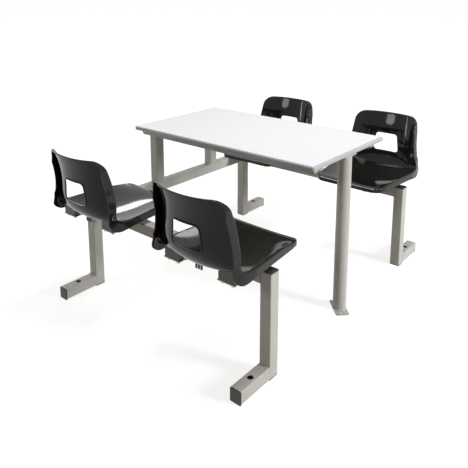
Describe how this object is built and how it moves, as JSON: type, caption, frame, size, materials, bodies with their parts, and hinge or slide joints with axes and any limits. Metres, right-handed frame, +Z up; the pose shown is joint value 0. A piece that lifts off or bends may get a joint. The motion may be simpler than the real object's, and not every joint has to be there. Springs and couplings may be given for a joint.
{
  "type": "table with attached swivel seats",
  "caption": "Small rectangular canteen table with moulded seats that swivel on beams joined to its tube frame.",
  "frame": {"origin": "on the floor, at the centre of the rectangle of the four seat legs and of their bolt holes", "axes": "+Z up, +X along the table's long edge towards the round leg, +Y from seats 1 and 2 towards seats 3 and 4"},
  "size_m": [1.1177, 1.676, 0.75],
  "materials": {
    "laminate": "white satin laminate on board",
    "edge_band": "semi-gloss cool grey",
    "frame_paint": "satin warm light grey powder coat",
    "carrier_paint": "satin warm light grey powder coat",
    "cap_plastic": "matt black",
    "rail_cap_plastic": "satin grey",
    "seat_plastic": "glossy black",
    "block_plastic": "matt black",
    "zinc_steel": "yellowish zinc plate",
    "bright_steel": "turned steel",
    "bush_nylon": "natural nylon"
  },
  "bodies": {
    "frame": {"cross_beam": "frame_paint", "foot_1": "frame_paint", "foot_2": "frame_paint", "foot_3": "frame_paint", "foot_4": "frame_paint", "foot_end_caps": "cap_plastic", "leg_1": "frame_paint", "leg_2": "frame_paint", "leg_3": "frame_paint", "leg_4": "frame_paint", "leg_base_caps": "cap_plastic", "leg_top_caps": "cap_plastic", "post_far": "frame_paint", "post_near": "frame_paint", "round_leg": "frame_paint", "round_leg_foot_plate": "frame_paint", "round_leg_head_plate": "frame_paint", "seat_beam_far": "frame_paint", "seat_beam_near": "frame_paint", "sub_rail_end_caps": "rail_cap_plastic", "sub_rail_far": "frame_paint", "sub_rail_near": "frame_paint", "swivel_bushes_1": "bush_nylon", "swivel_bushes_2": "bush_nylon", "swivel_bushes_3": "bush_nylon", "swivel_bushes_4": "bush_nylon", "swivel_housing_1": "frame_paint", "swivel_housing_2": "frame_paint", "swivel_housing_3": "frame_paint", "swivel_housing_4": "frame_paint", "swivel_stop_pins": "frame_paint", "table_edge_band": "edge_band", "table_screws": "zinc_steel", "table_top": "laminate"},
    "seat_1": {"seat_blocks_1": "block_plastic", "seat_bolts_1": "zinc_steel", "seat_carrier_1": "carrier_paint", "seat_shell_1": "seat_plastic", "swivel_nut_1": "zinc_steel", "swivel_spindle_1": "bright_steel"},
    "seat_2": {"seat_blocks_2": "block_plastic", "seat_bolts_2": "zinc_steel", "seat_carrier_2": "carrier_paint", "seat_shell_2": "seat_plastic", "swivel_nut_2": "zinc_steel", "swivel_spindle_2": "bright_steel"},
    "seat_3": {"seat_blocks_3": "block_plastic", "seat_bolts_3": "zinc_steel", "seat_carrier_3": "carrier_paint", "seat_shell_3": "seat_plastic", "swivel_nut_3": "zinc_steel", "swivel_spindle_3": "bright_steel"},
    "seat_4": {"seat_blocks_4": "block_plastic", "seat_bolts_4": "zinc_steel", "seat_carrier_4": "carrier_paint", "seat_shell_4": "seat_plastic", "swivel_nut_4": "zinc_steel", "swivel_spindle_4": "bright_steel"}
  },
  "joints": [
    {"name": "seat_1_swivel", "type": "hinge", "parent": "frame", "child": "seat_1", "pos_m": [-0.33, -0.569, 0.399], "axis": [0, 0, 1], "range_deg": [-30, 30]},
    {"name": "seat_2_swivel", "type": "hinge", "parent": "frame", "child": "seat_2", "pos_m": [0.33, -0.569, 0.399], "axis": [0, 0, 1], "range_deg": [-30, 30]},
    {"name": "seat_3_swivel", "type": "hinge", "parent": "frame", "child": "seat_3", "pos_m": [-0.33, 0.569, 0.399], "axis": [0, 0, 1], "range_deg": [-30, 30]},
    {"name": "seat_4_swivel", "type": "hinge", "parent": "frame", "child": "seat_4", "pos_m": [0.33, 0.569, 0.399], "axis": [0, 0, 1], "range_deg": [-30, 30]}
  ]
}
